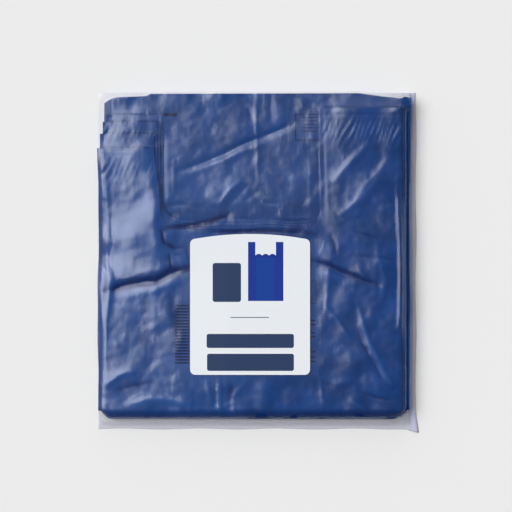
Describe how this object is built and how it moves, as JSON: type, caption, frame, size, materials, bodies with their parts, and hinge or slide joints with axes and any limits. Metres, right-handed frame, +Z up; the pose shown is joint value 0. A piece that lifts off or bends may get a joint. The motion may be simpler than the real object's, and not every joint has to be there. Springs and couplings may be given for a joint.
{
  "type": "pack of folded plastic carrier bags",
  "caption": "Flat retail pack of blue t-shirt carrier bags folded in half, handles up, sealed in a clear film sleeve with a white label on the front.",
  "frame": {"origin": "on the resting surface, under the middle of the sleeve's outline", "axes": "+Z up out of the labelled front, +Y from the fold of the bags to their handles, +X across the bags to the sleeve's loose side"},
  "size_m": [0.3092, 0.3272, 0.0224],
  "materials": {
    "bag_film": "satin",
    "sleeve_film": "clear gloss",
    "label_paper": "satin"
  },
  "bodies": {
    "root": {"clear_sleeve": "sleeve_film", "front_label": "label_paper", "bag_bundle_1": "bag_film", "bag_bundle_2": "bag_film", "bag_bundle_3": "bag_film", "bag_bundle_4": "bag_film"}
  },
  "joints": []
}
